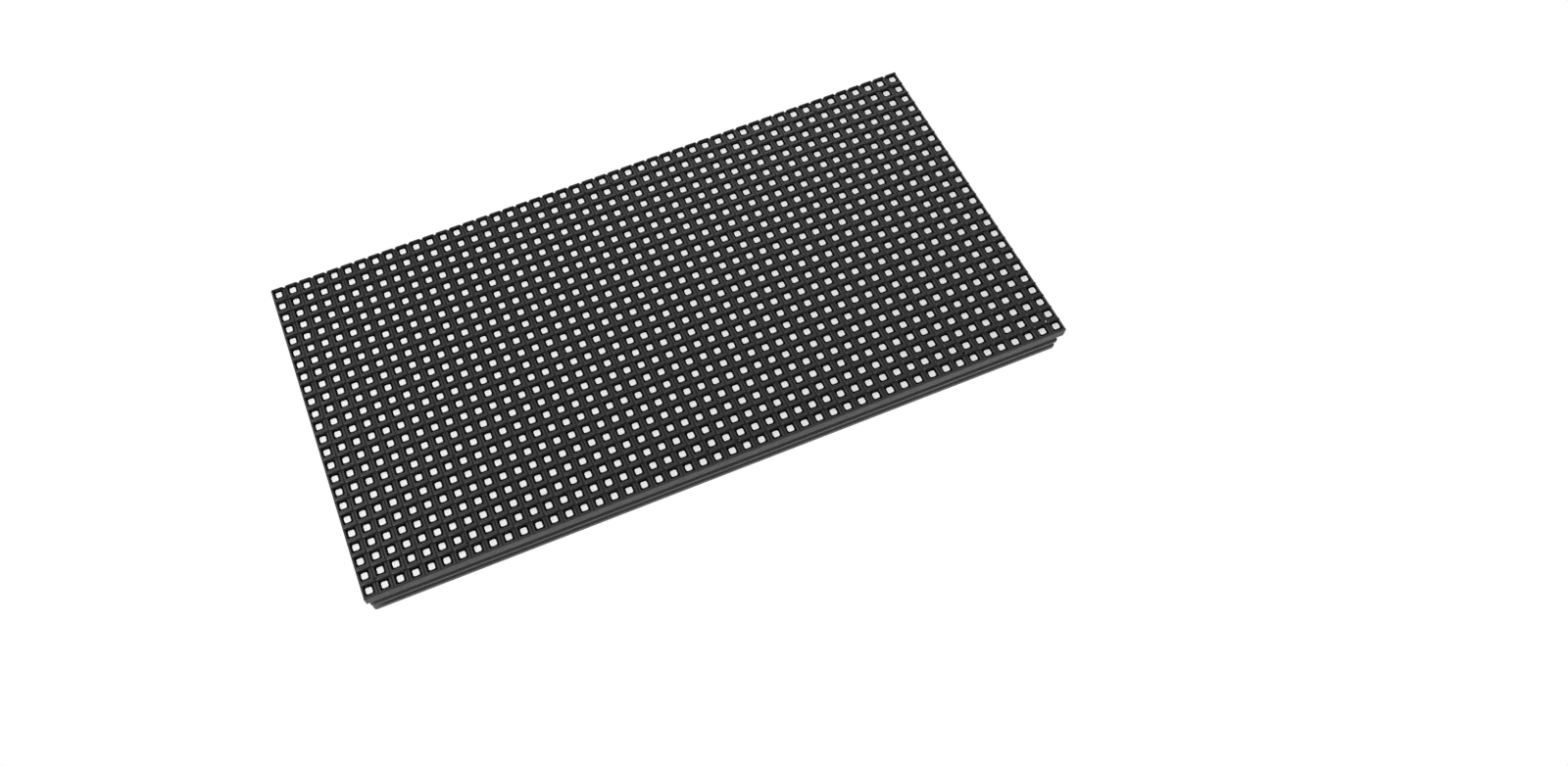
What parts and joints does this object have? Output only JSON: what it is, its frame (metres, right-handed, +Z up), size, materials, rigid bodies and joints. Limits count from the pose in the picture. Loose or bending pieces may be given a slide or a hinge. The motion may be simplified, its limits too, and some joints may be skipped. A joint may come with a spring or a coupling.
{
  "type": "led display module",
  "caption": "Flat rectangular outdoor LED display module: louvred black front mask, green circuit board, ribbed rear frame with sealing gasket and threaded inserts.",
  "frame": {"origin": "centre of the rear mounting face", "axes": "+X to the right along a pixel row as the display is watched, +Z up, the lit face looks towards -Y and the mounting face towards +Y"},
  "size_m": [0.3196, 0.0231, 0.1596],
  "materials": {
    "frame_plastic": "dark grey glass-filled moulding, satin",
    "gasket_silicone": "translucent grey silicone",
    "insert_brass": "turned brass",
    "board_green": "glossy green solder mask",
    "lamp_white": "white lamp with pale resin",
    "potting_black": "black sealing silicone",
    "mask_plastic": "matt black moulding",
    "screw_black": "black zinc",
    "chip_black": "black moulded package",
    "tinned_metal": "tinned",
    "can_aluminium": "drawn aluminium can",
    "resistor_body": "glazed black with tinned ends",
    "ceramic_body": "tan ceramic with tinned ends",
    "header_plastic": "black moulding",
    "label_blue": "blue film, bare",
    "label_green": "green film, bare"
  },
  "bodies": {
    "root": {"rear_frame": "frame_plastic", "sealing_gasket": "gasket_silicone", "threaded_inserts": "insert_brass", "circuit_board": "board_green", "lamp_rows": "lamp_white", "potting_layer": "potting_black", "front_mask": "mask_plastic", "mask_screws": "screw_black", "driver_chips": "chip_black", "driver_chip_leads": "tinned_metal", "logic_chips": "chip_black", "row_switch_chips": "chip_black", "capacitor_bases": "chip_black", "capacitor_cans": "can_aluminium", "chip_resistors": "resistor_body", "chip_capacitors": "ceramic_body", "input_header": "header_plastic", "input_header_pins": "tinned_metal", "output_header": "header_plastic", "output_header_pins": "tinned_metal", "power_connector": "header_plastic", "power_connector_pins": "tinned_metal", "blue_labels": "label_blue", "inspection_label": "label_green"}
  },
  "joints": []
}
